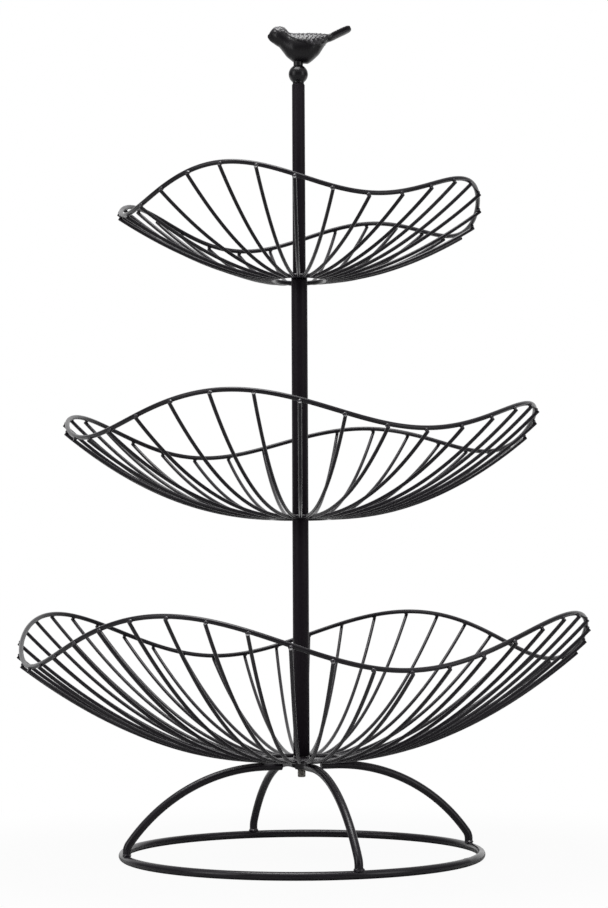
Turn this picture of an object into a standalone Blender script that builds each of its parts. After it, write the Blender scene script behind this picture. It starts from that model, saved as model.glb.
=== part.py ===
"""Three-tier wire basket stand with a bird finial.

Lengths are in metres and angles in radians. The pole's axis is Z, the stand rests on Z = 0,
and the front is towards -Y. An azimuth is measured from the front towards +X.
"""

import math

import bmesh
import bpy

SEAT_GAP = 0.0003  # between two pieces that touch

# Wires
RIB_WIRE = 0.0022
RIM_WIRE = 0.0028
HUB_RING_WIRE = 0.0028
BASE_WIRE = 0.0050

# Base
RING_RADIUS = 0.1090
LEG_COUNT = 4
LEG_TURN = math.radians(17)
LEG_CROWN_HEIGHT = 0.0555
LEG_INNER_RADIUS = 0.0125
LEG_FLAT_RADIUS = 0.0220  # where the straight inner stretch ends
LEG_FOOT_BEND = 0.0080
LEG_FOOT_STRAIGHT = 0.0020
BASE_PLATE_RADIUS = 0.0175
BASE_PLATE_THICKNESS = 0.0010

# Strap across each hub ring, with the hole for the stud
HUB_STRAP_THICKNESS = 0.0015
HUB_STRAP_WIDTH = 0.0100

# Pole
LOWER_TUBE_DIAMETER = 0.0100
LOWER_TUBE_WALL = 0.0008
UPPER_TUBE_DIAMETER = 0.0080
UPPER_TUBE_WALL = 0.0010
UPPER_TUBE_CHAMFER = 0.0007  # less than the wall
PLUG_LENGTH = 0.0120
MAIN_STUD_DIAMETER = 0.0050
SLIM_STUD_DIAMETER = 0.0040
STUD_GRIP = 0.0100  # how far a stud reaches into a plug
STUD_TAIL = 0.0048  # bare end of the bottom stud below its nut
STUD_CHAMFER = 0.0005
NUT_ACROSS_FLATS = 0.0080
NUT_THICKNESS = 0.0047
NUT_CHAMFER = 0.0004
NUT_SIDES = 6

# Finial
BALL_DIAMETER = 0.0121
BALL_FOOT_RADIUS = 0.0036
BALL_FOOT_LENGTH = 0.0011
BALL_NECK_RADIUS = 0.0030
BALL_NECK_LENGTH = 0.0014
BALL_BORE_DEPTH = 0.0080
NECK_GRIP = 0.0040  # how far the neck reaches into the bird
BIRD_LENGTH = 0.0523
BIRD_HEIGHT = 0.0239
BIRD_WIDTH = 0.0176
BIRD_SEAT_SHARE = 0.365  # how far along the bird its neck hole is, from the beak

# Facets
ROUND_SIDES = 24
PLATE_SIDES = 24
STUD_SIDES = 16
RING_SEGMENTS = 48
RIM_SEGMENTS = 64
WIRE_RING_SIDES = 8
LEG_ARC_STEPS = 8
LEG_BEND_STEPS = 3
STRAP_END_STEPS = 4
BALL_SIDES = 16
BALL_ARC_STEPS = 8
BIRD_SIDES = 12
RIB_BEVEL_RESOLUTION = 1
RIM_BEVEL_RESOLUTION = 1
LEG_BEVEL_RESOLUTION = 2
CUT_OVERRUN = 0.0020
SMOOTH_ANGLE = math.radians(40)
WELD_DISTANCE = 0.000001

# Each basket with the pole that stands on it. The depth is from the hub ring's centre up to the
# mean height of the rim, and the turn is the azimuth of one crest of the wave.
BASKETS = {
    "bottom": {
        "rim_radius": 0.1722,
        "hub_ring_radius": 0.0250,
        "depth": 0.0736,
        "wave_height": 0.0149,
        "wave_reach": 0.0032,
        "turn": math.radians(-25.1),
        "first_rib": math.radians(-1.8),
        "rib_count": 48,
        "rib_steps": 5,
        "bow_power": 1.9,
        "stud_diameter": MAIN_STUD_DIAMETER,
        "pole": "lower_pole",
        "pole_length": 0.1454,
        "tube_diameter": LOWER_TUBE_DIAMETER,
        "tube_wall": LOWER_TUBE_WALL,
    },
    "middle": {
        "rim_radius": 0.1430,
        "hub_ring_radius": 0.0180,
        "depth": 0.0556,
        "wave_height": 0.0103,
        "wave_reach": 0.0018,
        "turn": math.radians(-16.5),
        "first_rib": 0.0,
        "rib_count": 36,
        "rib_steps": 4,
        "bow_power": 2.05,
        "stud_diameter": MAIN_STUD_DIAMETER,
        "pole": "middle_pole",
        "pole_length": 0.1460,
        "tube_diameter": LOWER_TUBE_DIAMETER,
        "tube_wall": LOWER_TUBE_WALL,
    },
    "top": {
        "rim_radius": 0.1108,
        "hub_ring_radius": 0.0160,
        "depth": 0.0437,
        "wave_height": 0.0091,
        "wave_reach": 0.0008,
        "turn": math.radians(-23.4),
        "first_rib": math.radians(-1.2),
        "rib_count": 32,
        "rib_steps": 4,
        "bow_power": 1.7,
        "stud_diameter": SLIM_STUD_DIAMETER,
        "pole": "upper_pole",
        "pole_length": 0.1213,
        "tube_diameter": UPPER_TUBE_DIAMETER,
        "tube_wall": UPPER_TUBE_WALL,
    },
}
WAVES = 4
RIB_OVERHANG = 0.0004  # rib beyond the point where it touches the rim

# The bird from beak to tail. Along, top and bottom are shares of its length and height,
# and the last is a share of its half width.
BIRD_SECTION_SHARES = (
    (0.000, 0.779, 0.690, 0.100),
    (0.028, 0.850, 0.617, 0.260),
    (0.055, 0.929, 0.573, 0.420),
    (0.090, 0.975, 0.516, 0.550),
    (0.140, 0.990, 0.443, 0.640),
    (0.190, 0.967, 0.300, 0.690),
    (0.228, 0.894, 0.189, 0.740),
    (0.255, 0.828, 0.126, 0.800),
    (0.312, 0.797, 0.039, 0.900),
    (0.365, 0.790, 0.010, 0.970),
    (0.453, 0.788, 0.004, 1.000),
    (0.522, 0.786, 0.062, 0.950),
    (0.575, 0.782, 0.166, 0.880),
    (0.648, 0.776, 0.363, 0.700),
    (0.700, 0.772, 0.532, 0.520),
    (0.764, 0.825, 0.605, 0.410),
    (0.858, 0.924, 0.709, 0.370),
    (0.955, 1.004, 0.815, 0.390),
    (1.000, 0.940, 0.880, 0.300),
)

BLACK_COAT = (0.0115, 0.0110, 0.0130)
BARE_STEEL = (0.34, 0.33, 0.31)
CAST_BLACK = (0.0125, 0.0120, 0.0135)


def clear_scene():
    for obj in list(bpy.data.objects):
        bpy.data.objects.remove(obj)


def new_collection(name):
    collection = bpy.data.collections.new(name)
    bpy.context.scene.collection.children.link(collection)
    return collection


def paint(obj, color, metallic, roughness):
    """Gives the object its own material."""
    material = bpy.data.materials.new(obj.name)
    material.use_nodes = True
    shader = material.node_tree.nodes["Principled BSDF"]
    shader.inputs["Base Color"].default_value = (*color, 1)
    shader.inputs["Metallic"].default_value = metallic
    shader.inputs["Roughness"].default_value = roughness
    obj.data.materials.clear()
    obj.data.materials.append(material)


def coat(obj):
    paint(obj, BLACK_COAT, 0.0, 0.38)


def bare(obj):
    paint(obj, BARE_STEEL, 1.0, 0.35)


def place(collection, name, mesh):
    obj = bpy.data.objects.new(name, mesh)
    collection.objects.link(obj)
    return obj


def settle(obj, collection):
    """Turns a curve, or a mesh with modifiers, into one plain smooth mesh of the same name."""
    bpy.context.view_layer.update()
    evaluated = obj.evaluated_get(bpy.context.evaluated_depsgraph_get())
    mesh = bpy.data.meshes.new_from_object(evaluated)
    work = bmesh.new()
    work.from_mesh(mesh)
    bmesh.ops.remove_doubles(work, verts=work.verts, dist=WELD_DISTANCE)
    bmesh.ops.recalc_face_normals(work, faces=work.faces)
    if work.calc_volume(signed=True) < 0:
        bmesh.ops.reverse_faces(work, faces=work.faces)
    work.to_mesh(mesh)
    work.free()
    mesh.shade_smooth()
    mesh.set_sharp_from_angle(angle=SMOOTH_ANGLE)
    name = obj.name
    bpy.data.objects.remove(obj)
    settled = place(collection, name, mesh)
    settled.data.name = name
    return settled


def circumscribed(radius, sides):
    """Radius of the corners of a regular outline whose flats stand at this radius."""
    return radius / math.cos(math.pi / sides)


def bore_round(radius, sides):
    """Corner radius of a faceted bore that clears a round piece of this radius."""
    return circumscribed(radius + SEAT_GAP, sides)


def turned(collection, name, profile, sides, closed):
    """Turns a profile of (radius, height) points about Z. It runs down its outer side."""
    mesh = bpy.data.meshes.new(name)
    links = [(i, i + 1) for i in range(len(profile) - 1)]
    if closed:
        links.append((len(profile) - 1, 0))
    mesh.from_pydata([(radius, 0, height) for radius, height in profile], links, [])
    obj = place(collection, name, mesh)
    screw = obj.modifiers.new("turn", "SCREW")
    screw.steps = sides
    screw.render_steps = sides
    screw.use_merge_vertices = True
    screw.merge_threshold = WELD_DISTANCE
    return settle(obj, collection)


def tube(collection, name, outer, inner, low, high, sides, chamfer=0.0):
    """A straight tube along Z. The chamfer breaks its upper outer edge."""
    profile = [(outer - chamfer, high)] if chamfer else []
    profile += [(outer, high - chamfer), (outer, low), (inner, low), (inner, high)]
    return turned(collection, name, profile, sides, closed=True)


def wire(collection, name, runs, radius, bevel_resolution, cyclic):
    """A round wire along each run of points, all in one object."""
    curve = bpy.data.curves.new(name, "CURVE")
    curve.dimensions = "3D"
    curve.twist_mode = "Z_UP"
    curve.bevel_depth = radius
    curve.bevel_resolution = bevel_resolution
    curve.use_fill_caps = not cyclic
    for run in runs:
        spline = curve.splines.new("POLY")
        spline.points.add(len(run) - 1)
        spline.use_cyclic_u = cyclic
        for point, (x, y, z) in zip(spline.points, run):
            point.co = (x, y, z, 1)
    return settle(place(collection, name, curve), collection)


def at_azimuth(radius, azimuth, height):
    return (radius * math.sin(azimuth), -radius * math.cos(azimuth), height)


def rim_wave(basket, azimuth):
    return math.cos(WAVES * (azimuth - basket["turn"]))


def rim_slope(basket, azimuth):
    """How steeply the rim climbs along its own length."""
    climb = WAVES * basket["wave_height"] * math.sin(WAVES * (azimuth - basket["turn"]))
    return math.atan(climb / basket["rim_radius"])


def rim_point(basket, azimuth):
    wave = rim_wave(basket, azimuth)
    radius = basket["rim_radius"] + basket["wave_reach"] * wave
    height = basket["hub_height"] + basket["depth"] + basket["wave_height"] * wave
    return radius, height


def rib_profile(basket, azimuth):
    """Radius and height along one rib, from the hub ring to just past the rim it lies under."""
    root = basket["hub_ring_radius"]
    hub = basket["hub_height"]
    power = basket["bow_power"]
    rim_radius, rim_height = rim_point(basket, azimuth)
    slope = math.atan(power * (rim_height - hub) / (rim_radius - root))
    lean = rim_slope(basket, azimuth)
    spread = math.sqrt(1 - (math.sin(slope) * math.sin(lean)) ** 2) / math.cos(lean)
    offset = ((RIM_WIRE + RIB_WIRE) / 2 + SEAT_GAP) * spread
    end_radius = rim_radius + offset * math.sin(slope) + RIB_OVERHANG * math.cos(slope)
    end_height = rim_height - offset * math.cos(slope) + RIB_OVERHANG * math.sin(slope)
    steps = basket["rib_steps"]
    shares = [i / steps for i in range(steps + 1)]
    return [
        (root + (end_radius - root) * share, hub + (end_height - hub) * share**power)
        for share in shares
    ]


def make_rim(collection, tier, basket):
    azimuths = [2 * math.pi * i / RIM_SEGMENTS for i in range(RIM_SEGMENTS)]
    run = []
    for azimuth in azimuths:
        radius, height = rim_point(basket, azimuth)
        run.append(at_azimuth(radius, azimuth, height))
    rim = wire(collection, tier + "_rim", [run], RIM_WIRE / 2, RIM_BEVEL_RESOLUTION, cyclic=True)
    coat(rim)


def ring_outline(radius, height, thickness):
    """Eight-sided section of a ring of round wire, with flats above and below."""
    corner = circumscribed(thickness / 2, WIRE_RING_SIDES)
    turns = [math.pi * (1 - 2 * i) / WIRE_RING_SIDES for i in range(WIRE_RING_SIDES)]
    return [(radius + corner * math.cos(turn), height + corner * math.sin(turn)) for turn in turns]


def make_ribs(collection, cutters, tier, basket):
    """All the ribs of a basket, welded at their inner ends to one hub ring."""
    runs = []
    for i in range(basket["rib_count"]):
        azimuth = basket["first_rib"] + 2 * math.pi * i / basket["rib_count"]
        runs.append([at_azimuth(r, azimuth, z) for r, z in rib_profile(basket, azimuth)])
    spokes = wire(cutters, tier + "_spokes", runs, RIB_WIRE / 2, RIB_BEVEL_RESOLUTION, cyclic=False)
    hide(spokes)
    hub_ring = ring_outline(basket["hub_ring_radius"], basket["hub_height"], HUB_RING_WIRE)
    ribs = turned(collection, tier + "_ribs", hub_ring, PLATE_SIDES, closed=True)
    join = ribs.modifiers.new("join", "BOOLEAN")
    join.operation = "UNION"
    join.solver = "EXACT"
    join.object = spokes
    coat(settle(ribs, collection))


def hide(obj):
    obj.hide_render = True
    obj.display_type = "WIRE"


def strap_outline(basket):
    """Straight along both sides, with ends that follow the inside of the hub ring."""
    clear = (basket["hub_ring_radius"] - HUB_RING_WIRE / 2) * math.cos(math.pi / PLATE_SIDES)
    reach = clear - SEAT_GAP
    half_turn = math.asin(HUB_STRAP_WIDTH / 2 / reach)
    outline = []
    for end in (0, math.pi):
        for i in range(STRAP_END_STEPS + 1):
            azimuth = end + half_turn * (2 * i / STRAP_END_STEPS - 1)
            outline.append((reach * math.sin(azimuth), -reach * math.cos(azimuth)))
    return outline


def make_strap(collection, tier, basket):
    """The flat strap that clamps a basket between two poles."""
    hole = bore_round(basket["stud_diameter"] / 2, PLATE_SIDES)
    turns = [2 * math.pi * i / PLATE_SIDES for i in range(PLATE_SIDES)]
    round_hole = [(hole * math.cos(turn), hole * math.sin(turn)) for turn in turns]
    curve = bpy.data.curves.new(tier + "_hub_strap", "CURVE")
    curve.dimensions = "2D"
    curve.fill_mode = "BOTH"
    curve.extrude = HUB_STRAP_THICKNESS / 2
    for outline in (strap_outline(basket), round_hole):
        spline = curve.splines.new("POLY")
        spline.points.add(len(outline) - 1)
        spline.use_cyclic_u = True
        for point, (x, y) in zip(spline.points, outline):
            point.co = (x, y, 0, 1)
    strap = settle(place(collection, tier + "_hub_strap", curve), collection)
    strap.location.z = basket["strap_high"] - HUB_STRAP_THICKNESS / 2
    coat(strap)


def leg_profile():
    """Radius and height along a leg: flat under the hub, one wide bow, then down onto the ring."""
    reach = RING_RADIUS - LEG_FLAT_RADIUS - LEG_FOOT_BEND
    foot_height = BASE_WIRE + SEAT_GAP
    drop = LEG_CROWN_HEIGHT - foot_height - LEG_FOOT_STRAIGHT - LEG_FOOT_BEND
    sweep = 2 * math.atan(drop / reach)
    bow = reach / math.sin(sweep) + LEG_FOOT_BEND
    points = [(LEG_INNER_RADIUS, LEG_CROWN_HEIGHT)]
    for i in range(LEG_ARC_STEPS + 1):
        angle = sweep * i / LEG_ARC_STEPS
        points.append(
            (
                LEG_FLAT_RADIUS + bow * math.sin(angle),
                LEG_CROWN_HEIGHT - bow * (1 - math.cos(angle)),
            )
        )
    centre_radius = RING_RADIUS - LEG_FOOT_BEND
    centre_height = foot_height + LEG_FOOT_STRAIGHT
    for i in range(1, LEG_BEND_STEPS + 1):
        angle = sweep + (math.pi / 2 - sweep) * i / LEG_BEND_STEPS
        points.append(
            (
                centre_radius + LEG_FOOT_BEND * math.sin(angle),
                centre_height + LEG_FOOT_BEND * math.cos(angle),
            )
        )
    points.append((RING_RADIUS, foot_height))
    return points


def make_base(collection):
    ground_ring = ring_outline(RING_RADIUS, BASE_WIRE / 2, BASE_WIRE)
    coat(turned(collection, "base_ring", ground_ring, RING_SEGMENTS, closed=True))
    profile = leg_profile()
    for i in range(LEG_COUNT):
        azimuth = LEG_TURN + 2 * math.pi * i / LEG_COUNT
        run = [at_azimuth(radius, azimuth, height) for radius, height in profile]
        name = "leg_" + str(i + 1)
        coat(wire(collection, name, [run], BASE_WIRE / 2, LEG_BEVEL_RESOLUTION, cyclic=False))
    hole = bore_round(MAIN_STUD_DIAMETER / 2, PLATE_SIDES)
    low = base_plate_low()
    high = low + BASE_PLATE_THICKNESS
    coat(tube(collection, "base_plate", BASE_PLATE_RADIUS, hole, low, high, PLATE_SIDES))


def legs_top():
    return LEG_CROWN_HEIGHT + BASE_WIRE / 2


def base_plate_low():
    return legs_top() + SEAT_GAP


def nut_low():
    return base_plate_low() - SEAT_GAP - NUT_THICKNESS


def make_nut(collection, cutters):
    """Hexagon nut on the bottom stud, with its corners broken and a plain bore."""
    low = nut_low()
    high = low + NUT_THICKNESS
    corner = circumscribed(NUT_ACROSS_FLATS / 2, NUT_SIDES)
    mesh = bpy.data.meshes.new("lower_nut")
    work = bmesh.new()
    bmesh.ops.create_cone(
        work,
        cap_ends=True,
        cap_tris=False,
        segments=NUT_SIDES,
        radius1=corner,
        radius2=corner,
        depth=NUT_THICKNESS,
    )
    bmesh.ops.translate(work, verts=work.verts, vec=(0, 0, (low + high) / 2))
    work.to_mesh(mesh)
    work.free()
    nut = place(collection, "lower_nut", mesh)
    edge = nut.modifiers.new("edges", "BEVEL")
    edge.width = NUT_CHAMFER
    edge.segments = 1
    bore = bore_round(MAIN_STUD_DIAMETER / 2, STUD_SIDES)
    cutter_profile = [
        (0, high + CUT_OVERRUN),
        (bore, high + CUT_OVERRUN),
        (bore, low - CUT_OVERRUN),
        (0, low - CUT_OVERRUN),
    ]
    cutter = turned(cutters, "nut_bore", cutter_profile, STUD_SIDES, closed=False)
    hide(cutter)
    cut = nut.modifiers.new("bore", "BOOLEAN")
    cut.operation = "DIFFERENCE"
    cut.solver = "EXACT"
    cut.object = cutter
    coat(settle(nut, collection))


def turn_stud(collection, name, diameter, low, high):
    radius = diameter / 2
    tip = radius - STUD_CHAMFER
    profile = [
        (0, high),
        (tip, high),
        (radius, high - STUD_CHAMFER),
        (radius, low + STUD_CHAMFER),
        (tip, low),
        (0, low),
    ]
    bare(turned(collection, name, profile, STUD_SIDES, closed=False))


def make_stud(collection, name, basket, low):
    """The stud through a basket's hub, up into the foot of the pole that stands on it."""
    turn_stud(collection, name, basket["stud_diameter"], low, basket["pole_low"] + STUD_GRIP)


def make_plug(collection, name, tube_diameter, tube_wall, stud_diameter, low):
    outer = tube_diameter / 2 - tube_wall - SEAT_GAP
    bore = bore_round(stud_diameter / 2, STUD_SIDES)
    bare(tube(collection, name, outer, bore, low, low + PLUG_LENGTH, STUD_SIDES))


def make_pole(collection, basket, upper_stud, chamfer):
    """The tube that stands on a basket, with a threaded plug in each end."""
    name = basket["pole"]
    low = basket["pole_low"]
    high = basket["pole_high"]
    diameter = basket["tube_diameter"]
    wall = basket["tube_wall"]
    inner = circumscribed(diameter / 2 - wall, ROUND_SIDES)
    coat(tube(collection, name, diameter / 2, inner, low, high, ROUND_SIDES, chamfer))
    make_plug(collection, name + "_lower_plug", diameter, wall, basket["stud_diameter"], low)
    make_plug(collection, name + "_upper_plug", diameter, wall, upper_stud, high - PLUG_LENGTH)


def make_poles(collection, baskets):
    bottom, middle, top = baskets.values()
    make_pole(collection, bottom, middle["stud_diameter"], 0.0)
    make_pole(collection, middle, top["stud_diameter"], 0.0)
    make_pole(collection, top, SLIM_STUD_DIAMETER, UPPER_TUBE_CHAMFER)
    lowest = nut_low() - STUD_TAIL
    make_stud(collection, "bottom_stud", bottom, lowest)
    make_stud(collection, "middle_stud", middle, bottom["pole_high"] - STUD_GRIP)
    make_stud(collection, "top_stud", top, middle["pole_high"] - STUD_GRIP)


def ball_low(baskets):
    return baskets["top"]["pole_high"] + SEAT_GAP


def ball_centre(baskets):
    arc = math.sqrt((BALL_DIAMETER / 2) ** 2 - BALL_FOOT_RADIUS**2)
    return ball_low(baskets) + BALL_FOOT_LENGTH + arc


def belly_height(baskets):
    arc = math.sqrt((BALL_DIAMETER / 2) ** 2 - BALL_NECK_RADIUS**2)
    return ball_centre(baskets) + arc + BALL_NECK_LENGTH


def make_ball(collection, baskets):
    """The ball: a short foot on the pole, a bore for its stud and a neck that holds the bird."""
    radius = BALL_DIAMETER / 2
    centre = ball_centre(baskets)
    low = ball_low(baskets)
    neck_top = belly_height(baskets) + NECK_GRIP
    upper = math.acos(BALL_NECK_RADIUS / radius)
    lower = -math.acos(BALL_FOOT_RADIUS / radius)
    bore = bore_round(SLIM_STUD_DIAMETER / 2, BALL_SIDES)
    bore_top = low + BALL_BORE_DEPTH
    profile = [(0, neck_top), (BALL_NECK_RADIUS, neck_top)]
    for i in range(BALL_ARC_STEPS + 1):
        angle = upper + (lower - upper) * i / BALL_ARC_STEPS
        profile.append((radius * math.cos(angle), centre + radius * math.sin(angle)))
    profile += [(BALL_FOOT_RADIUS, low), (bore, low), (bore, bore_top), (0, bore_top)]
    paint(turned(collection, "finial_ball", profile, BALL_SIDES, closed=False), CAST_BLACK, 0.0, 0.34)
    stud_low = baskets["top"]["pole_high"] - STUD_GRIP
    turn_stud(collection, "finial_stud", SLIM_STUD_DIAMETER, stud_low, bore_top - SEAT_GAP)


def bird_mesh(belly):
    """Oval sections lofted from the beak to the tip of the tail."""
    work = bmesh.new()
    rings = []
    for along, top, bottom, width in BIRD_SECTION_SHARES:
        x = BIRD_LENGTH * (along - BIRD_SEAT_SHARE)
        middle = belly + BIRD_HEIGHT * (top + bottom) / 2
        half_height = BIRD_HEIGHT * (top - bottom) / 2
        half_width = BIRD_WIDTH / 2 * width
        ring = []
        for i in range(BIRD_SIDES):
            angle = 2 * math.pi * i / BIRD_SIDES
            y = half_width * math.cos(angle)
            z = middle + half_height * math.sin(angle)
            ring.append(work.verts.new((x, y, z)))
        rings.append(ring)
    for near, far in zip(rings, rings[1:]):
        for i in range(BIRD_SIDES):
            j = (i + 1) % BIRD_SIDES
            work.faces.new((near[i], near[j], far[j], far[i]))
    work.faces.new(rings[0])
    work.faces.new(rings[-1])
    bmesh.ops.recalc_face_normals(work, faces=work.faces)
    mesh = bpy.data.meshes.new("finial_bird")
    work.to_mesh(mesh)
    work.free()
    return mesh


def make_bird(collection, cutters, belly):
    bird = place(collection, "finial_bird", bird_mesh(belly))
    socket = bore_round(BALL_NECK_RADIUS, BALL_SIDES)
    high = belly + NECK_GRIP + SEAT_GAP
    low = belly - CUT_OVERRUN
    profile = [(0, high), (socket, high), (socket, low), (0, low)]
    cutter = turned(cutters, "bird_socket", profile, BALL_SIDES, closed=False)
    hide(cutter)
    cut = bird.modifiers.new("socket", "BOOLEAN")
    cut.operation = "DIFFERENCE"
    cut.solver = "EXACT"
    cut.object = cutter
    paint(settle(bird, collection), CAST_BLACK, 0.0, 0.34)


def stack_baskets():
    """Works out each level from the table up, and gives every basket its own heights."""
    stacked = {}
    seat = base_plate_low() + BASE_PLATE_THICKNESS
    for tier, sizes in BASKETS.items():
        # a strap lies on its seat, and its ring, level with it above, clears the legs
        strap_on_seat = seat + SEAT_GAP + HUB_STRAP_THICKNESS
        ring_on_legs = legs_top() + SEAT_GAP + HUB_RING_WIRE
        strap_high = max(strap_on_seat, ring_on_legs)
        pole_low = strap_high + SEAT_GAP
        seat = pole_low + sizes["pole_length"]
        stacked[tier] = {
            **sizes,
            "strap_high": strap_high,
            "hub_height": strap_high - HUB_RING_WIRE / 2,
            "pole_low": pole_low,
            "pole_high": seat,
        }
    return stacked


def main():
    clear_scene()
    stand = new_collection("three_tier_shelf_stand")
    cutters = new_collection("cutters")
    baskets = stack_baskets()
    make_base(stand)
    make_nut(stand, cutters)
    for tier, basket in baskets.items():
        make_rim(stand, tier, basket)
        make_ribs(stand, cutters, tier, basket)
        make_strap(stand, tier, basket)
    make_poles(stand, baskets)
    make_ball(stand, baskets)
    make_bird(stand, cutters, belly_height(baskets))


main()
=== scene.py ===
import math

import bmesh
import bpy
import numpy as np
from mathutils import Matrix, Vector, noise


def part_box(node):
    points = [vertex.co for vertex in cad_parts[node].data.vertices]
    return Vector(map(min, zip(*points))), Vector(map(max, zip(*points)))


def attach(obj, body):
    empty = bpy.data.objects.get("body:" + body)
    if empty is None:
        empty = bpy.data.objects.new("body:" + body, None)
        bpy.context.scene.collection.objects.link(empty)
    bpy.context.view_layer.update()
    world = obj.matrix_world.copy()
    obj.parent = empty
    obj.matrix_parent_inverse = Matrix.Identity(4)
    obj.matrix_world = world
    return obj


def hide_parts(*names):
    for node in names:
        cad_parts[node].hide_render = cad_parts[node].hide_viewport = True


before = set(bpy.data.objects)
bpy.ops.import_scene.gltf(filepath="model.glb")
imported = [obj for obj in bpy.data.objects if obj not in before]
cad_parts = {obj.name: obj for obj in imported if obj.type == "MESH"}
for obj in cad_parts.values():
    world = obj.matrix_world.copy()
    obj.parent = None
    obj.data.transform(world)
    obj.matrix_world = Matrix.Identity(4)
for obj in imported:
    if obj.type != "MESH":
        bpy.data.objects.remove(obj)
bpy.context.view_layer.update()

# Lengths are in metres, and angles in the dictionaries are in degrees
seatGap = 0.0003   # clearance that the CAD leaves between two pieces that touch
print("frame loaded,", len(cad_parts), "CAD nodes")


def toLinear(hexColour):
    digits = hexColour.lstrip("#")
    channels = [int(digits[i:i + 2], 16) / 255 for i in (0, 2, 4)]
    return [c / 12.92 if c <= 0.04045 else ((c + 0.055) / 1.055) ** 2.4 for c in channels] + [1]


def perMillimetre(size):
    return 1000 / size   # texture scale for a pattern of this many millimetres


# Adds a node with its settings. An input is a plain value, a socket or a node, which stands for
# its first output.
def addNode(tree, kind, inputs=None, **settings):
    node = tree.nodes.new(kind)
    for name, value in settings.items():
        setattr(node, name, value)
    for socket, value in (inputs or {}).items():
        if isinstance(value, bpy.types.Node):
            value = value.outputs[0]
        if isinstance(value, bpy.types.NodeSocket):
            tree.links.new(value, node.inputs[socket])
        else:
            node.inputs[socket].default_value = value
    return node


def emptyMaterial(name):
    material = bpy.data.materials.new(name)
    material.use_nodes = True
    material.node_tree.nodes.clear()
    return material, material.node_tree


noiseLow, noiseHigh = 0.35, 0.65   # most values of a noise pattern lie between these
lacquerIor = 1.5


# A colour that drifts between the look's dark and light ones with a noise pattern
def driftingColour(tree, pattern, look):
    tone = addNode(tree, "ShaderNodeMapRange", {
        "Value": pattern, "From Min": noiseLow, "From Max": noiseHigh,
    })
    colours = {0: tone, 6: toLinear(look["dark"]), 7: toLinear(look["light"])}
    return addNode(tree, "ShaderNodeMix", colours, data_type="RGBA").outputs[2]


# Polyester powder coat, sprayed on welded steel wire and baked: a satin black with a fine orange
# peel, so that the highlights along the wires are slightly broken. The tubes have a matt one.
coatPattern = {"roughFrom": 0.3, "roughTo": 0.7, "roughSpread": 0.05, "dust": "#8c8a86", "dustSlope": 0.5,
               "peelDepth": 0.00006, "grainStrength": 0.25, "grainDepth": 0.00001}


def makePowderCoat(name, look):
    material, tree = emptyMaterial(name)
    place = addNode(tree, "ShaderNodeTexCoord").outputs["Object"]
    patterns = []
    for key, detail in (("cloud", 3.0), ("peel", 2.0), ("grain", 1.0)):
        inputs = {"Vector": place, "Scale": perMillimetre(look[key]), "Detail": detail}
        patterns.append(addNode(tree, "ShaderNodeTexNoise", inputs))
    cloud, peel, grain = patterns
    colour = driftingColour(tree, cloud, look)
    # a trace of dust lies on what faces up
    normal = addNode(tree, "ShaderNodeNewGeometry").outputs["Normal"]
    up = addNode(tree, "ShaderNodeSeparateXYZ", {0: normal}).outputs["Z"]
    dust = addNode(tree, "ShaderNodeMapRange", {
        "Value": up, "From Min": coatPattern["dustSlope"], "From Max": 1.0, "To Max": look["dust"],
    })
    colours = {0: dust, 6: colour, 7: toLinear(coatPattern["dust"])}
    dusty = addNode(tree, "ShaderNodeMix", colours, data_type="RGBA").outputs[2]
    rough = addNode(tree, "ShaderNodeMapRange", {
        "Value": cloud, "From Min": coatPattern["roughFrom"], "From Max": coatPattern["roughTo"],
        "To Min": look["roughness"] - coatPattern["roughSpread"],
        "To Max": look["roughness"] + coatPattern["roughSpread"],
    })
    coarse = addNode(tree, "ShaderNodeBump", {
        "Height": peel, "Strength": look["peelStrength"], "Distance": coatPattern["peelDepth"],
    })
    fine = addNode(tree, "ShaderNodeBump", {
        "Height": grain, "Strength": coatPattern["grainStrength"], "Distance": coatPattern["grainDepth"],
        "Normal": coarse,
    })
    shader = addNode(tree, "ShaderNodeBsdfPrincipled", {
        "Base Color": dusty, "Roughness": rough, "Normal": fine, "IOR": lacquerIor,
        "Specular IOR Level": look["specular"],
    })
    addNode(tree, "ShaderNodeOutputMaterial", {"Surface": shader})
    return material


# Die-cast zinc alloy under black lacquer: glossier than the wires. The crests of the cast
# form are painted lighter, partly as rubbed lacquer and partly as a painted highlight. A piece without that
# mask has none of that.
def makeCastZinc(name, look):
    material, tree = emptyMaterial(name)
    place = addNode(tree, "ShaderNodeTexCoord").outputs["Object"]
    wearAndHighlightMask = addNode(tree, "ShaderNodeAttribute", attribute_name="wearAndHighlightMask").outputs["Fac"]
    cloud = addNode(tree, "ShaderNodeTexNoise", {
        "Vector": place, "Scale": perMillimetre(look["cloud"]), "Detail": 4.0,
    })
    pits = addNode(tree, "ShaderNodeTexNoise", {
        "Vector": place, "Scale": perMillimetre(look["pits"]), "Detail": 2.0,
    })
    base = driftingColour(tree, cloud, look)
    # the crests are painted lighter towards the crest colour, as rubbed lacquer and as painted highlight
    wearAndHighlight = addNode(tree, "ShaderNodeMath", {0: wearAndHighlightMask, 1: look["wear"]}, operation="MULTIPLY")
    colours = {0: wearAndHighlight, 6: base, 7: toLinear(look["crest"])}
    colour = addNode(tree, "ShaderNodeMix", colours, data_type="RGBA").outputs[2]
    rough = addNode(tree, "ShaderNodeMapRange", {
        "Value": wearAndHighlightMask, "To Min": look["roughness"] + look["roughSpread"],
        "To Max": look["roughness"] - look["roughSpread"],
    })
    bump = addNode(tree, "ShaderNodeBump", {
        "Height": pits, "Strength": look["pitStrength"], "Distance": look["pitDepth"],
    })
    shader = addNode(tree, "ShaderNodeBsdfPrincipled", {
        "Base Color": colour, "Roughness": rough, "Normal": bump, "IOR": lacquerIor,
        "Specular IOR Level": look["specular"],
    })
    addNode(tree, "ShaderNodeOutputMaterial", {"Surface": shader})
    return material


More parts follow.
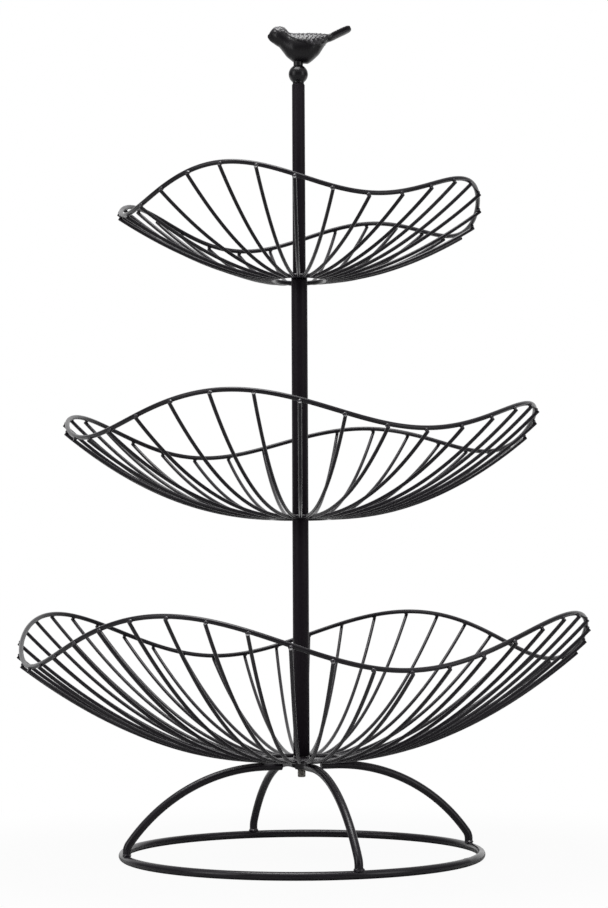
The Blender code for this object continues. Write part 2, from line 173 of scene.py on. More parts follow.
# Rolled steel thread under bright zinc plating: a cool grey metal with a faint yellow cast and
# fine turning marks round the axis
def makeZincPlate(name, look):
    material, tree = emptyMaterial(name)
    place = addNode(tree, "ShaderNodeTexCoord").outputs["Object"]
    cloud = addNode(tree, "ShaderNodeTexNoise", {
        "Vector": place, "Scale": perMillimetre(look["cloud"]), "Detail": 3.0,
    })
    squeezed = addNode(tree, "ShaderNodeMapping", {
        "Vector": place, "Scale": (1.0, 1.0, look["marksSqueeze"]),
    })
    marks = addNode(tree, "ShaderNodeTexNoise", {
        "Vector": squeezed, "Scale": perMillimetre(look["marks"]), "Detail": 1.0,
    })
    rough = addNode(tree, "ShaderNodeMapRange", {
        "Value": marks, "To Min": look["roughness"] - look["roughSpread"],
        "To Max": look["roughness"] + look["roughSpread"],
    })
    bump = addNode(tree, "ShaderNodeBump", {
        "Height": marks, "Strength": look["marksStrength"], "Distance": look["marksDepth"],
    })
    shader = addNode(tree, "ShaderNodeBsdfPrincipled", {
        "Base Color": driftingColour(tree, cloud, look), "Metallic": 1.0, "Roughness": rough, "Normal": bump,
    })
    addNode(tree, "ShaderNodeOutputMaterial", {"Surface": shader})
    return material


# Sizes of patterns are in millimetres and depths in metres. The real peel is about 0.5 mm, drawn
# at 0.9 mm so that it shows.
wireCoat = {"dark": "#0f0913", "light": "#150f19", "dust": 0.01, "roughness": 0.28, "specular": 0.5,
            "cloud": 14.0, "peel": 0.9, "grain": 0.25, "peelStrength": 0.3}
tubeCoat = {"dark": "#1a131b", "light": "#1e171f", "dust": 0.0, "roughness": 0.5, "specular": 0.2,
            "cloud": 20.0, "peel": 0.9, "grain": 0.25, "peelStrength": 0.2}
# The weld drops' coat drifts to a far lighter grey than the same coat on the wires: a painted glint at each
# weld.
weldCoat = {"dark": "#1a151d", "light": "#3a363d", "dust": 0.03, "roughness": 0.2, "specular": 0.8,
            "cloud": 3.0, "peel": 0.7, "grain": 0.25, "peelStrength": 0.8}
# crest is the colour that the crests are painted towards: rubbed lacquer and painted highlight
castFinish = {"dark": "#0b080d", "light": "#131015", "crest": "#8a888c", "wear": 0.6, "roughness": 0.22,
              "roughSpread": 0.06, "specular": 0.5, "cloud": 5.0, "pits": 0.4, "pitStrength": 0.5,
              "pitDepth": 0.00006}
plating = {"dark": "#96948e", "light": "#aba9a3", "roughness": 0.4, "roughSpread": 0.08, "cloud": 4.0,
           "marks": 0.5, "marksSqueeze": 12.0, "marksStrength": 0.3, "marksDepth": 0.00002}

powderCoat = makePowderCoat("powderCoatedSteelWire", wireCoat)
mattCoat = makePowderCoat("mattPowderCoatedSteelTube", tubeCoat)
coatedWeld = makePowderCoat("powderCoatedWeldMetal", weldCoat)
castZinc = makeCastZinc("lacqueredZincCasting", castFinish)
zincPlate = makeZincPlate("zincPlatedSteelThread", plating)
print("materials made")


# Edges that turn by more than sharpAngle (degrees) stay crisp, all others are smooth
def finishMesh(name, points, faces, material, sharpAngle=35):
    mesh = bpy.data.meshes.new(name)
    mesh.from_pydata([tuple(p) for p in points], [], faces)
    work = bmesh.new()
    work.from_mesh(mesh)
    bmesh.ops.recalc_face_normals(work, faces=work.faces)
    work.to_mesh(mesh)
    work.free()
    mesh.materials.append(material)
    mesh.shade_smooth()
    mesh.set_sharp_from_angle(angle=math.radians(sharpAngle))
    piece = bpy.data.objects.new(name, mesh)
    bpy.context.scene.collection.objects.link(piece)
    return piece


def standFor(piece, body, slot, *nodes):
    if nodes:
        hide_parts(*nodes)
    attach(piece, body)


upward = Vector((0, 0, 1))


# Azimuths run from the front (-Y) towards the right (+X)
def atAzimuth(radius, azimuth, height):
    return Vector((radius * math.sin(azimuth), -radius * math.cos(azimuth), height))


def sideways(azimuth):
    return Vector((math.cos(azimuth), math.sin(azimuth), 0))


def evenAngles(count):
    return [2 * math.pi * k / count for k in range(count)]


# Joins rows of points, each a closed loop of the same length, starting at point number first
def joinLoops(faces, first, loops, sides, closed=False):
    for i in range(loops if closed else loops - 1):
        a = first + i * sides
        b = first + (i + 1) % loops * sides
        for k in range(sides):
            n = (k + 1) % sides
            faces.append((a + k, a + n, b + n, b + k))


# A round wire through a run of points. Radii follow the points, and side is any direction
# that the wire never runs along.
def addWire(points, faces, path, radii, side, sides, closed=False):
    first = len(points)
    count = len(path)
    for i in range(count):
        before = path[i - 1] if closed or i > 0 else path[i]
        after = path[(i + 1) % count] if closed or i < count - 1 else path[i]
        along = (after - before).normalized()
        across = (side - along * side.dot(along)).normalized()
        over = along.cross(across)
        for angle in evenAngles(sides):
            points.append(path[i] + radii[i] * (math.cos(angle) * across + math.sin(angle) * over))
    joinLoops(faces, first, count, sides, closed)
    if not closed:
        faces.append(tuple(range(first + sides - 1, first - 1, -1)))
        last = first + (count - 1) * sides
        faces.append(tuple(range(last, last + sides)))


# Turns a closed loop of (radius, height) about the pole. A radius of 0 closes on the axis.
def lathe(name, profile, segments, material, sharpAngle=35):
    points = []
    rows = []
    for radius, height in profile:
        if radius == 0:
            rows.append([len(points)])
            points.append((0, 0, height))
        else:
            rows.append(list(range(len(points), len(points) + segments)))
            for angle in evenAngles(segments):
                points.append((radius * math.cos(angle), radius * math.sin(angle), height))
    faces = []
    for upper, lower in zip(rows, rows[1:] + rows[:1]):
        for k in range(segments):
            n = (k + 1) % segments
            above = [upper[k % len(upper)], upper[n % len(upper)]]
            below = [lower[n % len(lower)], lower[k % len(lower)]]
            corners = list(dict.fromkeys(above + below))
            if len(corners) > 2:
                faces.append(corners)
    return finishMesh(name, points, faces, material, sharpAngle)


# A flat piece with a round hole: outline gives its outer radius, the radius of its flat top and
# the fall of its edge at each angle, and edge is how far the hole's rims are broken
def pierced(name, angles, outline, hole, low, high, edge):
    points, faces = [], []
    for angle in angles:
        outer, flat, fall = outline(angle)
        ring = [
            (hole, low + edge), (hole, high - edge), (hole + edge, high), (flat, high),
            (outer, high - fall), (outer, low + fall), (flat, low), (hole + edge, low),
        ]
        points += [(r * math.cos(angle), r * math.sin(angle), z) for r, z in ring]
    joinLoops(faces, 0, len(angles), len(ring), closed=True)
    return finishMesh(name, points, faces, powderCoat, sharpAngle=20)


# A drop of weld metal: a ball squeezed along its three directions and made lumpy
blobLook = {"subdivisions": 2, "lumpScale": 1.6, "seedSteps": (3.1, 1.7, 1)}


def addBlob(points, faces, centre, directions, lumps, seed):
    work = bmesh.new()
    bmesh.ops.create_icosphere(work, subdivisions=blobLook["subdivisions"], radius=1.0)
    first = len(points)
    shift = Vector([seed * step for step in blobLook["seedSteps"]])
    for vertex in work.verts:
        place = vertex.co * (1 + lumps * noise.noise(vertex.co * blobLook["lumpScale"] + shift))
        points.append(centre + directions[0] * place.x + directions[1] * place.y + directions[2] * place.z)
    faces.extend(tuple(first + v.index for v in face.verts) for face in work.faces)
    work.free()


# How much thicker than its wire a bent ring is near the seam where it was welded shut
def seamSwell(look, azimuth, seam, radius):
    away = (azimuth - math.radians(seam)) * radius / look["seamWidth"]
    return 1 + look["seamSwell"] * math.exp(-away * away)


# The foot: ground ring, four legs and the plate that joins them
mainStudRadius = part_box("bottom_stud")[1].x
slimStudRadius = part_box("top_stud")[1].x
groundRing = {"radius": 0.109, "wire": 0.005, "steps": 240, "sides": 24, "seam": 62, "seamSwell": 0.05,
              "seamWidth": 0.0018}


def makeGroundRing():
    wireRadius = groundRing["wire"] / 2
    path, radii = [], []
    for azimuth in evenAngles(groundRing["steps"]):
        swell = seamSwell(groundRing, azimuth, groundRing["seam"], groundRing["radius"])
        path.append(atAzimuth(groundRing["radius"], azimuth, wireRadius * swell))
        radii.append(wireRadius * swell)
    points, faces = [], []
    addWire(points, faces, path, radii, upward, groundRing["sides"], closed=True)
    ring = finishMesh("groundRingWire", points, faces, powderCoat)
    standFor(ring, "stand", "black_powder_coat", "base_ring")


legs = {"count": 4, "turn": 17, "wire": 0.005, "crown": 0.0555, "innerRadius": 0.0125, "flatRadius": 0.022,
        "footBend": 0.008, "footStraight": 0.002, "cutEdge": 0.0003, "bowSteps": 40, "bendSteps": 10,
        "sides": 24}
footWelds = {"width": 0.0033, "inwardShare": 0.86, "height": 0.0016, "lumps": 0.16}
plateWelds = {"width": 0.0016, "shape": (1.9, 0.7, 0.6), "inset": 0.0032, "drop": 0.0008, "aside": 0.0019,
              "lumps": 0.16, "seedStep": 7}


# Radius and height along a leg: flat under the hub, one wide bow, then down onto the ring
def legProfile():
    ringTop = groundRing["wire"]
    bend, crown, flat = legs["footBend"], legs["crown"], legs["flatRadius"]
    reach = groundRing["radius"] - flat - bend
    drop = crown - ringTop - seatGap - legs["footStraight"] - bend
    sweep = 2 * math.atan(drop / reach)
    bow = reach / math.sin(sweep) + bend
    edge = legs["cutEdge"]
    inner = legs["innerRadius"]
    profile = [(inner, crown), (inner + edge, crown), ((inner + flat) / 2, crown)]
    for i in range(legs["bowSteps"] + 1):
        angle = sweep * i / legs["bowSteps"]
        profile.append((flat + bow * math.sin(angle), crown - bow * (1 - math.cos(angle))))
    centreRadius = groundRing["radius"] - bend
    centreHeight = ringTop + seatGap + legs["footStraight"]
    for i in range(1, legs["bendSteps"] + 1):
        angle = sweep + (math.pi / 2 - sweep) * i / legs["bendSteps"]
        profile.append((centreRadius + bend * math.sin(angle), centreHeight + bend * math.cos(angle)))
    profile.append((groundRing["radius"], ringTop - edge))
    return profile


def makeLegs():
    profile = legProfile()
    wireRadius = legs["wire"] / 2
    radii = [wireRadius - legs["cutEdge"]] + [wireRadius] * (len(profile) - 1)
    weldPoints, weldFaces = [], []
    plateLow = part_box("base_plate")[0].z
    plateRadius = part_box("base_plate")[1].x
    for i in range(legs["count"]):
        azimuth = math.radians(legs["turn"]) + 2 * math.pi * i / legs["count"]
        out, side = atAzimuth(1, azimuth, 0), sideways(azimuth)
        path = [atAzimuth(r, azimuth, z) for r, z in profile]
        points, faces = [], []
        addWire(points, faces, path, radii, side, legs["sides"])
        leg = finishMesh("legWire" + str(i + 1), points, faces, powderCoat)
        standFor(leg, "stand", "black_powder_coat", "leg_" + str(i + 1))
        # the weld that wets the foot all round, on top of the ring
        spot = atAzimuth(groundRing["radius"], azimuth, groundRing["wire"] + seatGap)
        size = footWelds["width"]
        directions = (out * size * footWelds["inwardShare"], side * size, upward * footWelds["height"])
        addBlob(weldPoints, weldFaces, spot, directions, footWelds["lumps"], i)
        # a short run of weld on each side of the leg, under the plate's edge
        size = plateWelds["width"]
        long, wide, high = plateWelds["shape"]
        directions = (out * size * long, side * size * wide, upward * size * high)
        for way in (-1, 1):
            seed = i + plateWelds["seedStep"] * way
            spot = atAzimuth(plateRadius - plateWelds["inset"], azimuth, plateLow - plateWelds["drop"])
            spot += side * way * plateWelds["aside"]
            addBlob(weldPoints, weldFaces, spot, directions, plateWelds["lumps"], seed)
    welds = finishMesh("footWeldBeads", weldPoints, weldFaces, coatedWeld)
    standFor(welds, "stand", "black_powder_coat")


legPlate = {"edge": 0.00015, "segments": 96}


# A disc of sheet with its punched edges just broken
def makeLegPlate():
    low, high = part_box("base_plate")
    edge = legPlate["edge"]
    angles = evenAngles(legPlate["segments"])
    hole = mainStudRadius + seatGap
    rim = (high.x, high.x - edge, edge)   # the same at each angle
    plate = pierced("legPlate", angles, lambda angle: rim, hole, low.z, high.z, edge)
    standFor(plate, "stand", "black_powder_coat", "base_plate")


makeGroundRing()
makeLegs()
makeLegPlate()
print("foot done")


# The baskets: wavy rims, bowed ribs with cut ends, an open hub ring with a strap across it, and
# a small drop of weld wherever two wires meet
basketLooks = {
    "bottom": {"rimRadius": 0.1722, "hubRadius": 0.025, "depth": 0.0736, "waveHeight": 0.0149,
               "waveReach": 0.0032, "turn": -25.1, "firstRib": -1.8, "ribCount": 48, "bowPower": 1.9,
               "studRadius": mainStudRadius, "seam": 140},
    "middle": {"rimRadius": 0.1430, "hubRadius": 0.018, "depth": 0.0556, "waveHeight": 0.0103,
               "waveReach": 0.0018, "turn": -16.5, "firstRib": 0.0, "ribCount": 36, "bowPower": 2.05,
               "studRadius": mainStudRadius, "seam": 215},
    "top": {"rimRadius": 0.1108, "hubRadius": 0.016, "depth": 0.0437, "waveHeight": 0.0091,
            "waveReach": 0.0008, "turn": -23.4, "firstRib": -1.2, "ribCount": 32, "bowPower": 1.7,
            "studRadius": slimStudRadius, "seam": 160},
}
waves = 4
rimLook = {"wire": 0.0028, "steps": 384, "sides": 18, "seamSwell": 0.07, "seamWidth": 0.0014}
ribLook = {"wire": 0.0022, "steps": 28, "sides": 14, "overhang": 0.0004, "cutEdge": 0.0002}


def rimPoint(basket, azimuth):
    wave = math.cos(waves * (azimuth - math.radians(basket["turn"])))
    radius = basket["rimRadius"] + basket["waveReach"] * wave
    return radius, basket["hubHeight"] + basket["depth"] + basket["waveHeight"] * wave


# The rib runs out under the rim and touches its outer side. Returns its path, the direction
# from the rim's centre to the rib's where they meet, and the slope of the rib there.
def ribPath(basket, azimuth):
    root, hub, power = basket["hubRadius"], basket["hubHeight"], basket["bowPower"]
    rimRadius, rimHeight = rimPoint(basket, azimuth)
    slope = math.atan(power * (rimHeight - hub) / (rimRadius - root))
    climb = waves * basket["waveHeight"] * math.sin(waves * (azimuth - math.radians(basket["turn"])))
    lean = math.atan(climb / basket["rimRadius"])
    # a rim that climbs is cut aslant by the rib's plane, which widens it there
    spread = math.sqrt(1 - (math.sin(slope) * math.sin(lean)) ** 2) / math.cos(lean)
    offset = ((rimLook["wire"] + ribLook["wire"]) / 2 + seatGap) * spread
    overhang = ribLook["overhang"]
    endRadius = rimRadius + offset * math.sin(slope) + overhang * math.cos(slope)
    endHeight = rimHeight - offset * math.cos(slope) + overhang * math.sin(slope)
    path = []
    for i in range(ribLook["steps"] + 1):
        share = i / ribLook["steps"]
        height = hub + (endHeight - hub) * share ** power
        path.append(atAzimuth(root + (endRadius - root) * share, azimuth, height))
    end = path[-1]
    path[-1] = end - (end - path[-2]).normalized() * ribLook["cutEdge"]
    path.append(end)
    return path, atAzimuth(math.sin(slope), azimuth, -math.cos(slope)), slope


def makeRim(tier, basket):
    path, radii = [], []
    for azimuth in evenAngles(rimLook["steps"]):
        radius, height = rimPoint(basket, azimuth)
        path.append(atAzimuth(radius, azimuth, height))
        radii.append(rimLook["wire"] / 2 * seamSwell(rimLook, azimuth, basket["seam"], radius))
    points, faces = [], []
    addWire(points, faces, path, radii, upward, rimLook["sides"], closed=True)
    rim = finishMesh(tier + "RimWire", points, faces, powderCoat)
    standFor(rim, tier + "_basket", "black_powder_coat", tier + "_rim")


hubRing = {"wire": 0.0028, "steps": 144, "sides": 18}
rimWelds = {"along": 0.0016, "across": 0.0012, "thick": 0.0011, "lumps": 0.22, "seedStep": 0.37}
hubWelds = {"size": 0.0013, "outShare": 0.8, "upShare": 0.95, "wireShare": 0.45, "lumps": 0.2,
            "seedStep": 0.53}


def makeRibs(tier, basket):
    points, faces = [], []
    weldPoints, weldFaces = [], []
    wireRadius = ribLook["wire"] / 2
    count = basket["ribCount"]
    for i in range(count):
        azimuth = math.radians(basket["firstRib"]) + 2 * math.pi * i / count
        side = sideways(azimuth)
        path, contact, slope = ribPath(basket, azimuth)
        radii = [wireRadius] * (len(path) - 1) + [wireRadius - ribLook["cutEdge"]]
        addWire(points, faces, path, radii, side, ribLook["sides"])
        # the drop of weld between rib and rim
        rimRadius, rimHeight = rimPoint(basket, azimuth)
        spot = atAzimuth(rimRadius, azimuth, rimHeight) + contact * rimLook["wire"] / 2
        outward = atAzimuth(math.cos(slope), azimuth, math.sin(slope))
        directions = (side * rimWelds["along"], outward * rimWelds["across"], contact * rimWelds["thick"])
        addBlob(weldPoints, weldFaces, spot, directions, rimWelds["lumps"], i * rimWelds["seedStep"])
        # and the one where the rib butts on the hub ring
        size = hubWelds["size"]
        reach = basket["hubRadius"] + hubRing["wire"] * hubWelds["wireShare"]
        spot = atAzimuth(reach, azimuth, basket["hubHeight"])
        outward = atAzimuth(size * hubWelds["outShare"], azimuth, 0)
        directions = (side * size, outward, Vector((0, 0, size * hubWelds["upShare"])))
        addBlob(weldPoints, weldFaces, spot, directions, hubWelds["lumps"], i * hubWelds["seedStep"])
    steps = hubRing["steps"]
    path = [atAzimuth(basket["hubRadius"], azimuth, basket["hubHeight"]) for azimuth in evenAngles(steps)]
    addWire(points, faces, path, [hubRing["wire"] / 2] * steps, upward, hubRing["sides"], closed=True)
    ribs = finishMesh(tier + "RibWires", points, faces, powderCoat)
    standFor(ribs, tier + "_basket", "black_powder_coat", tier + "_ribs")
    return weldPoints, weldFaces


hubStrap = {"edge": 0.0002, "segments": 96}
strapWelds = {"size": 0.0011, "shape": (1.3, 0.9, 0.6), "spacing": 0.003, "riseShare": 0.3, "lumps": 0.2}


# Sheared strip with its corners broken, fitted into the hub ring and tacked at both ends
def makeStrap(tier, basket, weldPoints, weldFaces):
    low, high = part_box(tier + "_hub_strap")
    edge = hubStrap["edge"]
    reach = basket["hubRadius"] - hubRing["wire"] / 2 - seatGap
    corner = math.acos(high.x / reach)

    def outline(angle):
        outer = reach
        if abs(math.cos(angle)) * reach > high.x:   # this ray leaves through a long side
            outer = high.x / abs(math.cos(angle))
        return outer, outer - edge, edge

    corners = [corner, math.pi - corner, math.pi + corner, 2 * math.pi - corner]
    angles = sorted(evenAngles(hubStrap["segments"]) + corners)
    strap = pierced(tier + "HubStrap", angles, outline, basket["studRadius"] + seatGap, low.z, high.z, edge)
    standFor(strap, tier + "_basket", "black_powder_coat", tier + "_hub_strap")
    size = strapWelds["size"]
    wide, deep, tall = strapWelds["shape"]
    for end in (0, math.pi):
        for way in (-1, 0, 1):
            azimuth = end + way * strapWelds["spacing"] / reach
            spot = atAzimuth(reach, azimuth, low.z + size * strapWelds["riseShare"])
            outward = atAzimuth(size * deep, azimuth, 0)
            directions = (sideways(azimuth) * size * wide, outward, Vector((0, 0, size * tall)))
            addBlob(weldPoints, weldFaces, spot, directions, strapWelds["lumps"], way + end)


for tier, basket in basketLooks.items():
    basket["hubHeight"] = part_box(tier + "_hub_strap")[1].z - hubRing["wire"] / 2
    makeRim(tier, basket)
    weldPoints, weldFaces = makeRibs(tier, basket)
    makeStrap(tier, basket, weldPoints, weldFaces)
    welds = finishMesh(tier + "WeldDrops", weldPoints, weldFaces, coatedWeld)
    standFor(welds, tier + "_basket", "black_powder_coat")
    print(tier, "basket done")


# The pole: three tubes, the nut and the stud that shows below it
tubeLook = {"segments": 96, "lowEdge": 0.0002, "edgeSteps": 4}
poleTubes = {"lower": {"wall": 0.0008, "topEdge": 0.0002}, "middle": {"wall": 0.0008, "topEdge": 0.0002},
             "upper": {"wall": 0.0010, "topEdge": 0.0007}}


def makeTube(tier, wall, topEdge):
    node = tier + "_pole"
    low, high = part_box(node)
    outer = high.x
    inner = outer - wall
    edge = tubeLook["lowEdge"]
    profile = [(inner, low.z), (inner, high.z), (outer - topEdge, high.z)]
    for i in range(1, tubeLook["edgeSteps"] + 1):
        turn = math.pi / 2 * i / tubeLook["edgeSteps"]
        profile.append((outer - topEdge * (1 - math.sin(turn)), high.z - topEdge * (1 - math.cos(turn))))
    profile += [(outer, low.z + edge), (outer - edge, low.z)]
    pole = lathe(tier + "PoleTube", profile, tubeLook["segments"], mattCoat, sharpAngle=50)
    standFor(pole, "stand", "black_powder_coat", node)


nutLook = {"acrossFlats": 0.008, "chamferAngle": 30, "washerShare": 0.95, "segments": 96, "holeEdge": 0.0004}


# Hexagon with the 30 degree chamfers that leave an arc on each flat
def makeNut():
    low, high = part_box("lower_nut")
    flat = nutLook["acrossFlats"] / 2
    washer = flat * nutLook["washerShare"]
    fall = math.tan(math.radians(nutLook["chamferAngle"]))

    def outline(angle):
        inSide = (angle + math.pi / 6) % (math.pi / 3) - math.pi / 6
        corner = flat / math.cos(inSide)
        return corner, washer, (corner - washer) * fall

    angles = evenAngles(nutLook["segments"])
    hole = mainStudRadius + seatGap
    nut = pierced("lowerNutHexagon", angles, outline, hole, low.z, high.z, nutLook["holeEdge"])
    standFor(nut, "stand", "black_powder_coat", "lower_nut")


threadLook = {"pitch": 0.0008, "depth": 0.0003, "flankSlope": 4, "flankPeak": 1.2, "pointLength": 0.0009,
              "stepsPerTurn": 10, "sides": 40}


# Rolled thread: the radius falls and rises once along each pitch, and both ends are rounded off.
# The flanks would meet at flankPeak times the depth, so that the root is a narrow flat.
def makeThread(name, node):
    low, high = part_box(node)
    crest = high.x
    pitch, depth, sides = threadLook["pitch"], threadLook["depth"], threadLook["sides"]
    point = threadLook["pointLength"]
    length = high.z - low.z
    rowCount = int(length / pitch * threadLook["stepsPerTurn"])
    points, faces = [], []
    for i in range(rowCount + 1):
        along = length * i / rowCount
        fromEnd = min(along, length - along)
        short = max(0, 1 - fromEnd / point)
        limit = crest - point * (1 - math.sqrt(1 - short * short))
        for k, angle in enumerate(evenAngles(sides)):
            phase = (along / pitch - k / sides) % 1
            groove = threadLook["flankPeak"] - abs(phase - 0.5) * threadLook["flankSlope"]
            radius = min(crest - depth * min(1, max(0, groove)), limit)
            points.append((radius * math.cos(angle), radius * math.sin(angle), low.z + along))
    joinLoops(faces, 0, rowCount + 1, sides)
    faces.append(tuple(range(sides)))
    faces.append(tuple(range(rowCount * sides, (rowCount + 1) * sides)))
    stud = finishMesh(name, points, faces, zincPlate, sharpAngle=60)
    standFor(stud, "stand", "bare_steel", node)


for tier, tube in poleTubes.items():
    makeTube(tier, **tube)
makeNut()
makeThread("bottomStudThread", "bottom_stud")
print("pole done")


# The finial: a ball with a foot and a neck, and the bird
ballLook = {"diameter": 0.0121, "footRadius": 0.0036, "footLength": 0.0011, "footEdge": 0.00015,
            "neckRadius": 0.0030, "neckEdge": 0.0002, "boreDepth": 0.008, "segments": 64, "arcSteps": 32}


def makeBall():
    low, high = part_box("finial_ball")
    radius = ballLook["diameter"] / 2
    foot, footEdge = ballLook["footRadius"], ballLook["footEdge"]
    neck, neckEdge = ballLook["neckRadius"], ballLook["neckEdge"]
    centre = low.z + ballLook["footLength"] + math.sqrt(radius ** 2 - foot ** 2)
    upper, lower = math.acos(neck / radius), -math.acos(foot / radius)
    bore = slimStudRadius + seatGap
    boreTop = low.z + ballLook["boreDepth"]
    profile = [(0, high.z), (neck - neckEdge, high.z), (neck, high.z - neckEdge)]
    steps = ballLook["arcSteps"]
    for i in range(steps + 1):
        angle = upper + (lower - upper) * i / steps
        profile.append((radius * math.cos(angle), centre + radius * math.sin(angle)))
    profile += [(foot, low.z + footEdge), (foot - footEdge, low.z)]
    profile += [(bore, low.z), (bore, boreTop), (0, boreTop)]
    ball = lathe("finialBall", profile, ballLook["segments"], castZinc)
    standFor(ball, "finial", "cast_black", "finial_ball")


# Along is a share of the bird's length from the beak, top and bottom are shares of its height
# from the belly, and width is a share of its half width. Each span says between which shares
# along the bird a form fades in and between which it fades out.
birdLook = {
    "top": [(0.0, 0.755), (0.018, 0.806), (0.034, 0.864), (0.055, 0.921), (0.081, 0.960), (0.123, 0.981),
            (0.165, 0.981), (0.202, 0.949), (0.228, 0.887), (0.249, 0.829), (0.270, 0.802), (0.301, 0.790),
            (0.40, 0.786), (0.52, 0.783), (0.62, 0.776), (0.70, 0.765), (0.732, 0.783), (0.806, 0.864),
            (0.911, 0.967), (0.963, 1.0), (0.990, 0.979), (1.0, 0.925)],
    "bottom": [(0.0, 0.70), (0.012, 0.655), (0.028, 0.611), (0.070, 0.541), (0.107, 0.484), (0.139, 0.438),
               (0.180, 0.322), (0.228, 0.184), (0.270, 0.107), (0.312, 0.035), (0.360, 0.010), (0.40, 0.002),
               (0.44, 0.0), (0.48, 0.0), (0.522, 0.058), (0.575, 0.161), (0.617, 0.2535), (0.648, 0.357),
               (0.680, 0.472), (0.700, 0.530), (0.764, 0.599), (0.858, 0.702), (0.953, 0.806), (0.990, 0.853),
               (1.0, 0.880)],
    "width": [(0.0, 0.09), (0.012, 0.17), (0.032, 0.27), (0.057, 0.42), (0.09, 0.56), (0.135, 0.65),
              (0.19, 0.68), (0.24, 0.73), (0.31, 0.87), (0.39, 0.97), (0.47, 0.98), (0.55, 0.90),
              (0.63, 0.70), (0.70, 0.50), (0.76, 0.38), (0.85, 0.34), (0.94, 0.37), (0.98, 0.34),
              (1.0, 0.16)],
    "upperSwell": 0.07, "crowding": 0.25, "roundShare": 0.95, "rings": 260, "sides": 120,
    "wing": {"edge": [(0.20, 0.78), (0.226, 0.72), (0.33, 0.56), (0.46, 0.46), (0.59, 0.40), (0.66, 0.46),
                      (0.72, 0.60)],
             "edgeFade": 0.035, "span": (0.20, 0.25, 0.68, 0.73), "rise": 0.00045, "backShare": 0.25},
    # Each wear paints the lacquer lighter where the form stands high: rubbed lacquer and painted highlight.
    "feathers": {"length": 0.0027, "width": 0.0021, "rise": 0.0008, "curve": 1.1, "sweep": 1.6,
                 "tipFrom": 0.88, "lowest": 0.35, "patch": 64, "seed": 5, "wear": 1.2},
    "crown": {"span": (0.05, 0.09, 0.20, 0.24), "from": 0.74, "to": 0.86, "bump": 0.00045,
              "rise": 0.00028, "wear": 0.6},
    "tail": {"span": (0.73, 0.79, 0.95, 0.99), "rise": 0.00045, "ribs": 10, "ribShare": 0.12,
             "ridgeAt": 0.68, "ridgeWidth": 0.2, "hollowShare": 1.2, "hollowWidth": 0.4, "wear": 0.5},
    "mouth": {"span": (0.0, 0.01, 0.03, 0.055), "height": 0.715, "width": 0.012, "depth": 0.00022},
    "eye": {"along": 0.080, "height": 0.800, "radius": 0.0008, "rise": 0.0003, "ringAt": 1.35,
            "ringWidth": 0.3, "ringDepth": 0.00018, "sideShare": 0.3},
}


# Smooth curve through listed points, each slope taken from its two neighbours
def throughPoints(table, at):
    x = np.array([p[0] for p in table])
    y = np.array([p[1] for p in table])
    slope = np.gradient(y, x)
    i = np.clip(np.searchsorted(x, at, side="right") - 1, 0, len(x) - 2)
    span = x[i + 1] - x[i]
    t = (at - x[i]) / span
    return ((1 + 2 * t) * (1 - t) ** 2 * y[i] + t * (1 - t) ** 2 * span * slope[i]
            + t * t * (3 - 2 * t) * y[i + 1] + t * t * (t - 1) * span * slope[i + 1])


def ramp(low, high, value):
    t = np.clip((value - low) / (high - low), 0, 1)
    return t * t * (3 - 2 * t)


def within(span, value):
    return ramp(span[0], span[1], value) * (1 - ramp(span[2], span[3], value))


def bell(value, middle, width):
    return np.exp(-((value - middle) / width) ** 2)


# Rows of rounded feathers that overlap towards the tail, from 0 to 1. No two stand equally high.
def featherPattern(look, x, fromBack):
    row = np.floor(fromBack / look["width"])
    across = fromBack / look["width"] - row - 0.5
    phase = x / look["length"] + 0.5 * (row % 2) + look["curve"] * across ** 2
    saw = phase - np.floor(phase)
    feather = saw ** look["sweep"] * (1 - ramp(look["tipFrom"], 1.0, saw))
    feather = feather * (1 - 0.5 * (2 * np.abs(across)) ** 3)
    patch = look["patch"]
    heights = np.random.default_rng(look["seed"]).uniform(look["lowest"], 1.0, (patch, patch))
    return feather * heights[row.astype(int) % patch, np.floor(phase).astype(int) % patch]


